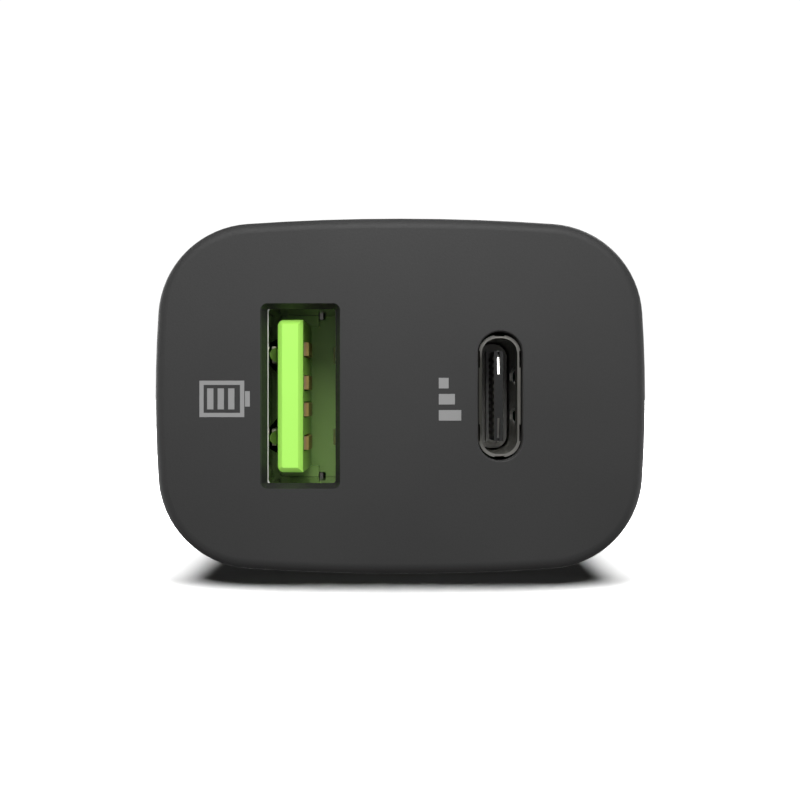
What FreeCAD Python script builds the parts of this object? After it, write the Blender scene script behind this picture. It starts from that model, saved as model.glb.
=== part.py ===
import FreeCAD, Part
import math
import os
import re
from functools import lru_cache

import Sketcher
from FreeCAD import Placement, Rotation, Vector

# A two-port USB wall charger with a folding two-blade mains plug.
#
# Row frame, millimetres. The origin is the middle of the wall face, the flat rear face that meets
# the outlet. +Y leaves that face and runs along the opened blades, +Z is up as the charger lies on
# its long side, and +X is to the right seen from the front, where the two ports are.
# "Depth" below means the distance in front of the wall face, so y = -depth.
#
# Every driving size is a cell of the sheet "dims". Positions and sizes are expressions of them.

DIMENSIONS = {
    # casing: a rectangle whose four sides are slightly crowned arcs
    "body_width": 35.3,
    "body_height": 25.6,
    "body_length": 60.0,
    "crown_long": 160.0,
    "crown_short": 90.0,
    "corner_radius": 6.9,
    "wall": 2.0,
    "front_wall": 1.9,
    "front_round": 0.8,
    "rear_round": 1.2,
    "cap_length": 8.0,
    "seam_gap": 0.05,
    "seam_bevel": 0.25,
    "spigot_length": 2.6,
    "spigot_wall": 1.2,
    "spigot_gap": 0.08,
    # ports
    "port_offset": 7.15,
    "port_a_width": 5.7,
    "port_a_height": 13.27,
    "port_a_corner": 0.5,
    "port_a_lip": 0.37,
    "port_a_lip_end": 0.3,
    "port_a_lip_depth": 0.8,
    "port_a_throat_corner": 0.12,
    "port_c_width": 3.17,
    "port_c_height": 9.24,
    "mouth_round": 0.12,
    "seat_gap": 0.1,
    # printed marks: a battery and rising bars, read with +X up
    "ink_depth": 0.1,
    "battery_end": -11.15,
    "battery_length": 3.2,
    "battery_middle": -0.2,
    "battery_half": 1.3,
    "battery_line": 0.3,
    "battery_cell": 0.45,
    "battery_pitch": 0.75,
    "battery_cell_half": 0.75,
    "battery_cap_half": 0.55,
    "battery_cap": 0.35,
    "bar_foot": 2.75,
    "bar_shortest": 0.7,
    "bar_step": 0.45,
    "bar_top": 1.3,
    "bar_width": 0.75,
    "bar_pitch": 1.15,
    # folding plug, one blade each side of z = 0
    "blade_spacing": 12.7,
    "blade_width": 6.35,
    "blade_thickness": 1.5,
    "blade_reach": 17.5,
    "blade_hole": 1.6,
    "blade_hole_reach": 11.9,
    "blade_corner": 1.6,
    "pivot_x": 6.5,
    "pivot_depth": 3.5,
    "tail_radius": 4.3,
    "slot_gap": 0.3,
    "slot_floor": 7.2,
    "slot_end": 15.0,
    "well_wall": 0.8,
    "carrier_half": 3.3,
    "carrier_corner": 0.8,
    "carrier_length": 18.0,
    "carrier_gap": 0.2,
    "axle_radius": 1.5,
    "axle_gap": 0.03,
    "axle_length": 1.3,
    "scoop_radius": 7.0,
    "scoop_x": -9.8,
    "scoop_depth": 2.6,
    "scoop_half": 7.6,
    # plug retainer and its springs
    "retainer_near": 8.4,
    "retainer_thickness": 1.6,
    "screw_x_low": 0.9,
    "screw_x_high": 12.3,
    "screw_radius": 1.0,
    "screw_head_radius": 1.8,
    "screw_head_height": 1.1,
    "spring_thickness": 0.3,
    "spring_width": 1.8,
    # boards
    "board": 1.2,
    "port_board_front": 47.8,
    "port_board_width": 27.0,
    "port_board_height": 18.8,
    "main_board_width": 28.0,
    "main_board_rear": 12.6,
    "main_board_top": -7.5,
    # type A receptacle
    "a_open_width": 4.88,
    "a_open_height": 12.76,
    "a_sheet": 0.3,
    "a_corner": 0.3,
    "a_front": 58.7,
    "a_base_front": 51.4,
    "a_leg_half": 0.8,
    "leg_reach": 0.7,
    "a_tongue_low": -1.78,
    "a_tongue_high": 0.06,
    "a_tongue_half": 5.55,
    "a_tongue_tip": 58.8,
    "a_tongue_chamfer": 0.35,
    "a_shoulder_edge": 0.69,
    "a_shoulder_length": 0.6,
    "a_pocket_width": 0.53,
    "a_pocket_height": 0.33,
    "a_pocket_depth": 2.2,
    "a_lug_width": 0.27,
    "a_lug_height": 0.28,
    "a_lug_length": 0.6,
    "a_groove_floor": -0.95,
    "a_groove_front": 57.6,
    "a_contact_width": 1.0,
    "a_contact_inner": 1.0,
    "a_contact_outer": 3.5,
    "a_contact_sheet": 0.25,
    "a_contact_nose": 57.15,
    "a_contact_crest": 56.6,
    "a_contact_proud": 0.3,
    "a_contact_sunk": -0.25,
    "a_tail_half": 0.3,
    "a_finger_place": 3.08,
    "a_finger_width": 1.2,
    "a_finger_root": 52.65,
    "a_finger_rise": 0.37,
    "a_left_crest": 57.0,
    "a_left_front": 57.85,
    "a_right_crest": 55.4,
    "a_right_front": 57.0,
    "a_window_rear": 52.6,
    "a_window_front": 58.25,
    "a_window_rear_half": 1.45,
    "a_window_front_half": 0.74,
    "a_window_round": 0.6,
    # type C receptacle
    "c_open_width": 2.56,
    "c_open_height": 8.34,
    "c_sheet": 0.23,
    "c_corner": 1.12,
    "c_base_gap": 0.14,
    "c_front": 59.4,
    "c_base_front": 53.2,
    "c_seam_half": 0.37,
    "c_seam_length": 1.2,
    "c_dent": 0.1,
    "c_dent_near": 2.05,
    "c_dent_far": 3.25,
    "c_window_place": 1.5,
    "c_window_front": 57.8,
    "c_window_rear": 54.2,
    "c_window_front_half": 0.66,
    "c_window_rear_half": 0.25,
    "c_leg_place": 2.2,
    "c_leg_half": 0.5,
    "c_tongue_tip": 58.6,
    "c_tongue_thickness": 0.65,
    "c_tongue_width": 6.54,
    "c_root_half": 0.56,
    "c_root_length": 1.3,
    "c_plate": 0.15,
    "c_prong_near": 1.6,
    "c_prong_far": 2.92,
    "c_prong_set": 0.36,
    "c_slot_room": 0.12,
    "c_pin_place": 3.14,
    "c_pin_radius": 0.08,
    "c_latch_near": 55.9,
    "c_latch_far": 56.9,
    "c_latch_depth": 0.35,
    "c_contact_pitch": 0.5,
    "c_contact_half": 0.13,
    "c_contact_proud": 0.05,
}

AXES = {
    "X": Rotation(Vector(0, 1, 0), 90),
    "Y": Rotation(Vector(1, 0, 0), -90),
    "Z": Rotation(),
}

doc = FreeCAD.newDocument("wall_charger")
sheet = doc.addObject("Spreadsheet::Sheet", "dims")
for row, (alias, value) in enumerate(DIMENSIONS.items(), start=1):
    sheet.set(f"A{row}", alias)
    sheet.set(f"B{row}", str(value))
    sheet.setAlias(f"B{row}", alias)
working = doc.addObject("Spreadsheet::Sheet", "working")
doc.recompute()

subparts = []


# ---------------------------------------------------------------- helpers


def bound(expression):
    """The expression with each of the sheet's aliases written as a reference to its cell."""
    return re.sub(
        r"[A-Za-z_]\w*",
        lambda word: f"dims.{word[0]}" if word[0] in DIMENSIONS else word[0],
        str(expression),
    )


@lru_cache(maxsize=None)
def size(expression):
    """An expression's value, for the starting shape of sketches and for shapes made in code."""
    working.set("A1", "=" + bound(expression))
    working.recompute()
    return float(working.get("A1"))


def bind(thing, **expressions):
    for key, expression in expressions.items():
        thing.setExpression(key.replace("__", "."), bound(expression))
    return thing


def place(thing, x="0", y="0", z="0"):
    return bind(
        thing, Placement__Base__x=x, Placement__Base__y=y, Placement__Base__z=z
    )


def subpart(thing, label):
    """Marks the finished object of one sub-part. Its label names its file."""
    thing.Label = label
    subparts.append(thing)
    return thing


def block(x, y, z):
    """A box between two corners; each of x, y and z is a pair (low, high) of expressions."""
    thing = doc.addObject("Part::Box", "block")
    bind(
        thing,
        Length=f"({x[1]}) - ({x[0]})",
        Width=f"({y[1]}) - ({y[0]})",
        Height=f"({z[1]}) - ({z[0]})",
    )
    return place(thing, x[0], y[0], z[0])


def rod(axis, radius, length, x="0", y="0", z="0"):
    """A cylinder whose flat end is centred at x, y, z and which runs up the axis."""
    thing = doc.addObject("Part::Cylinder", "rod")
    thing.Placement = Placement(Vector(), AXES[axis])
    bind(thing, Radius=radius, Height=length)
    return place(thing, x, y, z)


def union(*things):
    if len(things) == 1:
        return things[0]
    thing = doc.addObject("Part::MultiFuse", "union")
    thing.Shapes = list(things)
    return thing


def group(*things):
    """Separate solids of one kind, kept apart in one object."""
    thing = doc.addObject("Part::Compound", "group")
    thing.Links = list(things)
    return thing


def difference(base, *tools):
    thing = doc.addObject("Part::Cut", "difference")
    thing.Base = base
    thing.Tool = union(*tools)
    return thing


def rounded(thing, radius, choose):
    """Fillets the edges of a Part object that choose(edge) picks."""
    doc.recompute()
    found = [
        (i, size(radius), size(radius))
        for i, edge in enumerate(thing.Shape.Edges, start=1)
        if choose(edge)
    ]
    fillet = doc.addObject("Part::Fillet", "rounded")
    fillet.Base = thing
    fillet.Edges = found
    return fillet


def runs_along(axis):
    """A test for straight edges parallel to an axis."""
    direction = {"X": Vector(1, 0, 0), "Y": Vector(0, 1, 0), "Z": Vector(0, 0, 1)}[axis]

    def test(edge):
        if not isinstance(edge.Curve, Part.Line):
            return False
        return abs(edge.Curve.Direction.dot(direction)) > 0.999

    return test


# Sketches. On XZ_Plane a sketch's x is +X, its y is +Z and its normal is -Y, so a plane's offset
# is a depth. On XY_Plane they are +X, +Y and +Z.


def new_body(name):
    return doc.addObject("PartDesign::Body", name)


def new_sketch(body, plane, offset):
    sketch = body.newObject("Sketcher::SketchObject", "sketch")
    origin_plane = next(f for f in body.Origin.OriginFeatures if f.Role == plane)
    sketch.AttachmentSupport = (origin_plane, [""])
    sketch.MapMode = "FlatFace"
    return bind(sketch, AttachmentOffset__Base__z=offset)


def constrain(sketch, expression, *what):
    """Adds a dimension constraint and binds its value to an expression of the sheet."""
    index = sketch.addConstraint(Sketcher.Constraint(*what, size(expression)))
    sketch.setExpression(f"Constraints[{index}]", bound(expression))


def draw_polygon(sketch, *points):
    """A closed outline of straight lines through (x, y) pairs of expressions."""
    where = [Vector(size(u), size(v), 0) for u, v in points]
    first, count = sketch.GeometryCount, len(points)
    for i in range(count):
        sketch.addGeometry(Part.LineSegment(where[i], where[(i + 1) % count]))
    for i, (u, v) in enumerate(points):
        this, following = first + i, first + (i + 1) % count
        sketch.addConstraint(Sketcher.Constraint("Coincident", this, 2, following, 1))
        constrain(sketch, u, "DistanceX", -1, 1, this, 1)
        constrain(sketch, v, "DistanceY", -1, 1, this, 1)


def draw_circle(sketch, u, v, radius):
    circle = Part.Circle(Vector(size(u), size(v), 0), Vector(0, 0, 1), size(radius))
    this = sketch.addGeometry(circle)
    constrain(sketch, radius, "Radius", this)
    constrain(sketch, u, "DistanceX", -1, 1, this, 3)
    constrain(sketch, v, "DistanceY", -1, 1, this, 3)


def draw_many(sketch, draw, *outlines):
    """Several outlines of one kind in one sketch."""
    for outline in outlines:
        draw(sketch, *outline)


def draw_rectangle(sketch, u0, v0, u1, v1):
    draw_polygon(sketch, (u0, v0), (u1, v0), (u1, v1), (u0, v1))


def draw_rounded(sketch, u, v, width, height, radius):
    """A rounded rectangle about the point (u, v): sides and corner arcs alternate."""
    cu, cv, rr = size(u), size(v), size(radius)
    a, b = size(width) / 2, size(height) / 2
    quarter = math.pi / 2
    corners = [
        (cu + a - rr, cv + b - rr),
        (cu - a + rr, cv + b - rr),
        (cu - a + rr, cv - b + rr),
        (cu + a - rr, cv - b + rr),
    ]
    arcs = [
        Part.ArcOfCircle(
            Part.Circle(Vector(x, y, 0), Vector(0, 0, 1), rr),
            i * quarter,
            (i + 1) * quarter,
        )
        for i, (x, y) in enumerate(corners)
    ]
    first = sketch.GeometryCount
    for i, arc in enumerate(arcs):
        sketch.addGeometry(arc)
        sketch.addGeometry(Part.LineSegment(arc.EndPoint, arcs[(i + 1) % 4].StartPoint))
    for i in range(8):
        following = first + (i + 1) % 8
        sketch.addConstraint(Sketcher.Constraint("Tangent", first + i, 2, following, 1))
    for i, kind in ((1, "Horizontal"), (3, "Vertical"), (5, "Horizontal"), (7, "Vertical")):
        sketch.addConstraint(Sketcher.Constraint(kind, first + i))
    constrain(sketch, f"({v}) + ({height})/2", "DistanceY", -1, 1, first + 1, 1)
    constrain(sketch, f"({v}) - ({height})/2", "DistanceY", -1, 1, first + 5, 1)
    constrain(sketch, f"({u}) - ({width})/2", "DistanceX", -1, 1, first + 3, 1)
    constrain(sketch, f"({u}) + ({width})/2", "DistanceX", -1, 1, first + 7, 1)
    constrain(sketch, radius, "Radius", first)
    for i in (2, 4, 6):
        sketch.addConstraint(Sketcher.Constraint("Equal", first, first + i))


def meeting_point(c1, r1, c2, r2):
    """Where two circles cross, on the side that is up and to the right."""
    line = c2 - c1
    along = (r1**2 - r2**2 + line.Length**2) / (2 * line.Length)
    across = math.sqrt(r1**2 - along**2)
    unit = line.normalize()
    side = Vector(-unit.y, unit.x, 0)
    ends = [c1 + unit * along + side * across, c1 + unit * along - side * across]
    return max(ends, key=lambda p: p.x + p.y)


def draw_crowned(sketch, inset):
    """The casing's cross-section, drawn inset inside the outer skin: four crowned sides and
    four corner arcs, each tangent to the next."""
    half_u = f"(body_width/2 - ({inset}))"
    half_v = f"(body_height/2 - ({inset}))"
    side_r, top_r = f"(crown_short - ({inset}))", f"(crown_long - ({inset}))"
    corner_r = f"(corner_radius - ({inset}))"
    side = Vector(size(f"{half_u} - {side_r}"), 0, 0)
    top = Vector(0, size(f"{half_v} - {top_r}"), 0)
    corner = meeting_point(
        top, size(f"{top_r} - {corner_r}"), side, size(f"{side_r} - {corner_r}")
    )
    low = math.atan2(corner.y, corner.x - side.x)
    high = math.atan2(corner.y - top.y, corner.x)
    turn = math.pi
    arcs = [
        (side.x, 0, side_r, -low, low),
        (corner.x, corner.y, corner_r, low, high),
        (0, top.y, top_r, high, turn - high),
        (-corner.x, corner.y, corner_r, turn - high, turn - low),
        (-side.x, 0, side_r, turn - low, turn + low),
        (-corner.x, -corner.y, corner_r, turn + low, turn + high),
        (0, -top.y, top_r, turn + high, 2 * turn - high),
        (corner.x, -corner.y, corner_r, 2 * turn - high, 2 * turn - low),
    ]
    for x, y, radius, start, end in arcs:
        circle = Part.Circle(Vector(x, y, 0), Vector(0, 0, 1), size(radius))
        sketch.addGeometry(Part.ArcOfCircle(circle, start, end))
    for i in range(8):
        sketch.addConstraint(Sketcher.Constraint("Tangent", i, 2, (i + 1) % 8, 1))
        constrain(sketch, arcs[i][2], "Radius", i)
    for i, sign in ((0, "1"), (4, "-1")):
        sketch.addConstraint(Sketcher.Constraint("PointOnObject", i, 3, -1))
        constrain(sketch, f"{sign}*({half_u} - {side_r})", "DistanceX", -1, 1, i, 3)
    for i, sign in ((2, "1"), (6, "-1")):
        sketch.addConstraint(Sketcher.Constraint("PointOnObject", i, 3, -2))
        constrain(sketch, f"{sign}*({half_v} - {top_r})", "DistanceY", -1, 1, i, 3)


def grow(body, plane, near, far, draw, *args):
    """Pads a drawn outline along the plane's normal, from near to far."""
    sketch = new_sketch(body, plane, near)
    draw(sketch, *args)
    feature = body.newObject("PartDesign::Pad", "pad")
    feature.Profile = sketch
    bind(feature, Length=f"({far}) - ({near})")
    doc.recompute()
    return feature


def carve(body, plane, near, far, draw, *args):
    """Pockets a drawn outline along the plane's normal, from near to far."""
    before = body.Tip.Shape.Volume
    sketch = new_sketch(body, plane, near)
    draw(sketch, *args)
    feature = body.newObject("PartDesign::Pocket", "pocket")
    feature.Profile = sketch
    feature.Reversed = True
    bind(feature, Length=f"({far}) - ({near})")
    doc.recompute()
    if not feature.Shape.Volume < before - 1e-6:
        raise RuntimeError(f"{body.Name}: a pocket cut nothing")
    return feature


def dress(body, kind, radius, choose, prop="Radius"):
    """A fillet or chamfer on the edges of the body's tip that choose(edge) picks."""
    base = body.Tip
    names = [
        f"Edge{i}" for i, edge in enumerate(base.Shape.Edges, start=1) if choose(edge)
    ]
    feature = body.newObject(f"PartDesign::{kind}", kind.lower())
    feature.Base = (base, names)
    bind(feature, **{prop: radius})
    doc.recompute()
    return feature


def at_depth(depth):
    """A test for edges that lie in the plane at a depth."""
    y = -size(depth)
    return lambda edge: all(abs(v.Y - y) < 1e-4 for v in edge.Vertexes)


# Shapes made in code, where neither a feature nor a primitive fits


def shaped(shape, label):
    thing = doc.addObject("Part::Feature", label)
    thing.Shape = shape
    thing.Placement = Placement()
    return thing


def ribbon(points, thickness, width, z):
    """A strip of sheet metal: it follows points in the XY plane and is centred on z."""
    path = Part.makePolygon([Vector(x, y, z - width / 2) for x, y in points])
    outline = path.makeOffset2D(thickness / 2, 0, False, False)
    return Part.Face(outline).extrude(Vector(0, 0, width))


def lead(points, radius):
    """A round wire: straight runs, and at each corner an arc as large as the runs allow."""
    edges, start = [], points[0]
    for before, corner, after in zip(points, points[1:], points[2:]):
        back, ahead = (before - corner), (after - corner)
        room = 0.45 * min(back.Length, ahead.Length)
        a, b = corner + back.normalize() * room, corner + ahead.normalize() * room
        bend = (back.normalize() + ahead.normalize()).normalize()
        half = back.getAngle(ahead) / 2
        r = room * math.tan(half)
        middle = corner + bend * (r / math.sin(half) - r)
        edges += [Part.LineSegment(start, a).toShape(), Part.Arc(a, middle, b).toShape()]
        start = b
    edges.append(Part.LineSegment(start, points[-1]).toShape())
    wire = Part.Wire(edges)
    circle = Part.Circle(points[0], points[1] - points[0], radius)
    tube = wire.makePipeShell([Part.Wire([circle.toShape()])], True, False)
    want = math.pi * radius**2 * wire.Length
    if abs(tube.Volume - want) > 0.01 * want:
        raise RuntimeError("a lead's volume isn't its section times its length")
    return tube


def both(low, high):
    """A span on the positive side of an axis, and its mirror image on the negative side."""
    return [(low, high), (f"-({high})", f"-({low})")]


def at_y(expression):
    """A test for edges that lie in the plane at a y."""
    y = size(expression)
    return lambda edge: all(abs(v.Y - y) < 1e-4 for v in edge.Vertexes)


def at_x(expression):
    """A test for edges that lie in the plane at an x."""
    x = size(expression)
    return lambda edge: all(abs(v.X - x) < 1e-4 for v in edge.Vertexes)


def within(x, half_width, half_height):
    """A test for edges whose middle is near x and near z = 0."""
    x, half_width, half_height = size(x), size(half_width), size(half_height)

    def test(edge):
        middle = edge.CenterOfMass
        return abs(middle.x - x) < half_width and abs(middle.z) < half_height

    return test


def both_tests(first, second):
    """A test that passes what two tests both pass."""
    return lambda edge: first(edge) and second(edge)


# ---------------------------------------------------------------- printed marks


def make_port_marks():
    """Two plain pictograms inlaid in the face: a battery for one port, rising bars for the other.
    Both read upright when the charger stands with +X up."""
    ink = ("-body_length", "-body_length + ink_depth")
    through = ("-body_length - 1", "-body_length + 1")
    foot, head = "battery_end - battery_length", "battery_end"
    low, high = "battery_middle - battery_half", "battery_middle + battery_half"
    pieces = [
        difference(
            block((foot, head), ink, (low, high)),
            block(
                (f"{foot} + battery_line", f"{head} - battery_line"),
                through,
                (f"{low} + battery_line", f"{high} - battery_line"),
            ),
        ),
        block(
            (f"{head} + 0.05", f"{head} + 0.05 + battery_cap"),
            ink,
            ("battery_middle - battery_cap_half", "battery_middle + battery_cap_half"),
        ),
    ]
    for i in range(3):
        cell = f"{foot} + 0.55 + {i}*battery_pitch"
        pieces.append(
            block(
                (cell, f"{cell} + battery_cell"),
                ink,
                ("battery_middle - battery_cell_half", "battery_middle + battery_cell_half"),
            )
        )
    for i in range(3):
        top = f"bar_top - {i}*bar_pitch"
        length = f"bar_shortest + {i}*bar_step"
        pieces.append(block(("bar_foot", f"bar_foot + {length}"), ink, (f"{top} - bar_width", top)))
    return subpart(group(*pieces), "port_marks")


# ---------------------------------------------------------------- casing


def make_front_housing(marks):
    """The deep cup with the front wall, the port openings and the rails for the boards."""
    body = new_body("front_shell")
    face, seam = "body_length", "cap_length + seam_gap"
    inner_face = "body_length - front_wall"
    grow(body, "XZ_Plane", seam, face, draw_crowned, "0")
    dress(body, "Fillet", "front_round", at_depth(face))
    dress(body, "Chamfer", "seam_bevel", at_depth(seam), "Size")
    carve(body, "XZ_Plane", "cap_length", inner_face, draw_crowned, "wall")

    # opening of the type A port: a tapered lip, a straight throat and a seat for the shell
    port = ("-port_offset", "0")
    lip = carve(
        body, "XZ_Plane", "body_length - 0.01", "body_length - 0.01 + port_a_lip_depth",
        draw_rounded, *port, "port_a_width", "port_a_height", "port_a_corner",
    )
    lip.Reversed = False
    bind(lip, TaperAngle="-atan(port_a_lip / port_a_lip_depth)")
    bind(lip.Profile[0], AttachmentOffset__Base__z=face)
    carve(
        body, "XZ_Plane", f"{inner_face} - 0.1", "body_length - port_a_lip_depth + 0.01",
        draw_rounded, *port,
        "port_a_width - 2*port_a_lip", "port_a_height - 2*port_a_lip_end", "port_a_throat_corner",
    )
    carve(
        body, "XZ_Plane", f"{inner_face} - 0.1", "a_front + seat_gap",
        draw_rounded, *port,
        "a_open_width + 2*(a_sheet + seat_gap)", "a_open_height + 2*(a_sheet + seat_gap)",
        "a_corner + a_sheet",
    )
    # opening of the type C port: a plain slot that the metal rim nearly fills
    carve(
        body, "XZ_Plane", f"{inner_face} - 0.1", "body_length + 0.1",
        draw_rounded, "port_offset", "0",
        "port_c_width", "port_c_height", "port_c_width/2 - 0.01",
    )
    # posts that the port board rests on, and rails that hold the main board
    posts = [(u, v, "1.3") for u in ("-12", "12") for v in ("-7.9", "7.9")]
    grow(
        body, "XZ_Plane", "port_board_front + 0.05", f"{inner_face} + 0.1",
        draw_many, draw_circle, *posts,
    )
    under, over = "main_board_top - board - 0.05", "main_board_top + 0.05"
    rails = [(low, over, high, f"{over} + 0.9") for low, high in both("13.2", "16")]
    rails += [(low, "-11.6", high, under) for low, high in both("11.6", "13")]
    grow(
        body, "XZ_Plane", "main_board_rear + 1.5", "port_board_front - 4",
        draw_many, draw_rectangle, *rails,
    )
    slot = within("port_offset", "port_c_width", "port_c_height/2 + 0.5")
    dress(body, "Fillet", "mouth_round", both_tests(at_depth(face), slot))
    return subpart(difference(body, marks), "front_housing")


def slot_spans():
    """The z spans of the two blade slots."""
    low = "(blade_spacing - blade_thickness)/2 - slot_gap"
    high = "(blade_spacing + blade_thickness)/2 + slot_gap"
    return both(low, high)


def make_rear_cover():
    """The cap with the wall face, the slots for the folded blades and the seat of the carrier."""
    body = new_body("rear_cover_body")
    rim = "wall + spigot_gap"
    grow(body, "XZ_Plane", "0", "cap_length", draw_crowned, "0")
    dress(body, "Fillet", "rear_round", at_depth("0"))
    dress(body, "Chamfer", "seam_bevel", at_depth("cap_length"), "Size")
    grow(body, "XZ_Plane", "cap_length", "cap_length + spigot_length", draw_crowned, rim)
    carve(
        body, "XZ_Plane", "wall", "cap_length + spigot_length",
        draw_crowned, f"{rim} + spigot_wall",
    )

    # walls round the slots, the carrier's window and the finger scoop
    well_end, well_far = "-(slot_end + well_wall)", "pivot_x + tail_radius + slot_gap + well_wall"
    wells = [
        (well_end, f"{low} - well_wall", well_far, f"{high} + well_wall")
        for low, high in slot_spans()
    ]
    window_half = "(carrier_half + carrier_gap)"
    grow(body, "XZ_Plane", "wall", "slot_floor + well_wall", draw_many, draw_rectangle, *wells)
    grow(
        body, "XZ_Plane", "wall", "pivot_depth + 1.2", draw_rectangle,
        f"pivot_x - {window_half} - well_wall", "-carrier_length/2 - 0.6",
        f"pivot_x + {window_half} + well_wall", "carrier_length/2 + 0.6",
    )
    grow(
        body, "XZ_Plane", "wall", "scoop_depth + wall - 0.2", draw_rectangle,
        "scoop_x - 6", "-scoop_half - 0.1", "scoop_x + 6", "scoop_half + 0.1",
    )
    # bosses for the retainer's screws
    screws = [("screw_x_low", "0"), ("screw_x_high", "0")]
    grow(
        body, "XZ_Plane", "wall", "retainer_near", draw_many, draw_circle,
        *[(*at, "2*screw_radius") for at in screws],
    )
    carve(
        body, "XZ_Plane", "wall + 0.6", "retainer_near", draw_many, draw_circle,
        *[(*at, "screw_radius + 0.03") for at in screws],
    )
    # window for the carrier, slots for the blades and room for the blades' tails to turn
    carve(
        body, "XZ_Plane", "-0.1", "slot_floor + well_wall + 0.1", draw_rectangle,
        f"pivot_x - {window_half}", "-carrier_length/2 - carrier_gap",
        f"pivot_x + {window_half}", "carrier_length/2 + carrier_gap",
    )
    slots = [("-slot_end", low, "pivot_x", high) for low, high in slot_spans()]
    carve(body, "XZ_Plane", "-0.1", "slot_floor", draw_many, draw_rectangle, *slots)
    for low, high in slot_spans():
        carve(
            body, "XY_Plane", low, high,
            draw_circle, "pivot_x", "-pivot_depth", "tail_radius + slot_gap",
        )
    # seats of the axle, open to the inside
    seat_half = "(axle_radius + axle_gap)"
    ends = both("carrier_length/2", "carrier_length/2 + axle_length + 0.1")
    for low, high in ends:
        carve(body, "XY_Plane", low, high, draw_circle, "pivot_x", "-pivot_depth", seat_half)
    ways = [(f"pivot_x - {seat_half}", low, f"pivot_x + {seat_half}", high) for low, high in ends]
    carve(
        body, "XZ_Plane", "pivot_depth", "cap_length + spigot_length",
        draw_many, draw_rectangle, *ways,
    )
    # finger scoop between the slots
    carve(
        body, "XY_Plane", "-scoop_half", "scoop_half",
        draw_circle, "scoop_x", "scoop_radius - scoop_depth", "scoop_radius",
    )
    return subpart(body, "rear_cover")


# ---------------------------------------------------------------- folding plug


def make_blade(span, label):
    """A flat blade: wide outside the carrier, a narrower neck through it, a round tail."""
    body = new_body(label)
    low, high = span
    tip, step, tail = "blade_reach", "-pivot_depth + 1.2", "-pivot_depth - tail_radius"
    half, neck = "blade_width/2", "1.7"
    points = [
        (f"pivot_x - {half}", tip),
        (f"pivot_x - {half}", step),
        (f"pivot_x - {neck}", step),
        (f"pivot_x - {neck}", tail),
        (f"pivot_x + {neck}", tail),
        (f"pivot_x + {neck}", step),
        (f"pivot_x + {half}", step),
        (f"pivot_x + {half}", tip),
    ]
    grow(body, "XY_Plane", low, high, draw_polygon, *points)
    upright = runs_along("Z")
    dress(body, "Fillet", f"{neck} - 0.01", both_tests(upright, at_y(tail)))
    dress(body, "Chamfer", "blade_corner", both_tests(upright, at_y(tip)), "Size")
    dress(body, "Chamfer", "0.3", both_tests(runs_along("X"), at_y(tip)), "Size")
    carve(body, "XY_Plane", low, high, draw_circle, "pivot_x", "blade_hole_reach", "blade_hole")
    return subpart(body, label)


def make_blade_carrier(blades):
    """The moulded barrel that carries both blades, with its two stub axles."""
    barrel = rod(
        "Z", "carrier_half", "carrier_length", "pivot_x", "-pivot_depth", "-carrier_length/2"
    )
    quarter = block(
        ("pivot_x", "pivot_x + carrier_half"),
        ("-pivot_depth", "-pivot_depth + carrier_half"),
        ("-carrier_length/2", "carrier_length/2"),
    )
    corner = rounded(
        quarter,
        "carrier_corner",
        lambda edge: runs_along("Z")(edge)
        and at_y("-pivot_depth + carrier_half")(edge)
        and edge.CenterOfMass.x > size("pivot_x + 1"),
    )
    axle = rod(
        "Z", "axle_radius", "carrier_length + 2*axle_length",
        "pivot_x", "-pivot_depth", "-carrier_length/2 - axle_length",
    )
    return subpart(difference(union(barrel, corner, axle), *blades), "blade_carrier")


def make_pivot_retainer():
    """The plate behind the carrier: two posts close the axle's seats, and it holds the springs."""
    body = new_body("pivot_retainer")
    far = "retainer_near + retainer_thickness"
    grow(
        body, "XZ_Plane", "retainer_near", far,
        draw_rounded, "6.2", "0", "15.4", "17.8", "2.8",
    )
    ends = both("carrier_length/2 - 0.2", "carrier_length/2 + axle_length")
    feet = [("pivot_x - 1.4", low, "pivot_x + 1.4", high) for low, high in ends]
    grow(body, "XZ_Plane", "retainer_near", far, draw_many, draw_rectangle, *feet)
    ends = both("carrier_length/2 + 0.3", "carrier_length/2 + axle_length")
    posts = [("pivot_x - 1.4", low, "pivot_x + 1.4", high) for low, high in ends]
    grow(
        body, "XZ_Plane", "pivot_depth + axle_radius + 0.05", far,
        draw_many, draw_rectangle, *posts,
    )
    holes = [(x, "0", "screw_radius + 0.15") for x in ("screw_x_low", "screw_x_high")]
    carve(body, "XZ_Plane", "retainer_near", far, draw_many, draw_circle, *holes)
    return subpart(body, "pivot_retainer")


def make_retainer_screws():
    """Two cross-head screws that hold the retainer to the cover's bosses."""
    screws = []
    back = "-(retainer_near + retainer_thickness)"
    for x in ("screw_x_low", "screw_x_high"):
        shank = rod("Y", "screw_radius", "retainer_thickness + 4.2", x, back, "0")
        head = rod("Y", "screw_head_radius", "screw_head_height", x, f"{back} - screw_head_height")
        depth = (f"{back} - screw_head_height", f"{back} - screw_head_height + 0.6")
        wide, narrow = "1.1", "0.2"
        cross = [
            block((f"{x} - {a}", f"{x} + {a}"), depth, (f"-{b}", b))
            for a, b in ((wide, narrow), (narrow, wide))
        ]
        screws.append(difference(union(shank, head), *cross))
    return subpart(group(*screws), "retainer_screws")


def make_contact_spring(z, label):
    """A strip on the retainer whose bump presses on the blade's tail when the plug is open."""
    middle = size("pivot_x")
    rest = -size("retainer_near - spring_thickness/2")
    bump = -size("pivot_depth + tail_radius + 0.05 + spring_thickness/2")
    points = [
        (-1.7, -11.6),
        (-1.7, rest),
        (middle - 2.6, rest),
        (middle - 0.7, bump),
        (middle + 0.7, bump),
        (middle + 2.6, rest),
        (middle + 4.2, rest),
    ]
    strip = ribbon(points, size("spring_thickness"), size("spring_width"), size(z))
    return subpart(shaped(strip, label), label)


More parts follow.
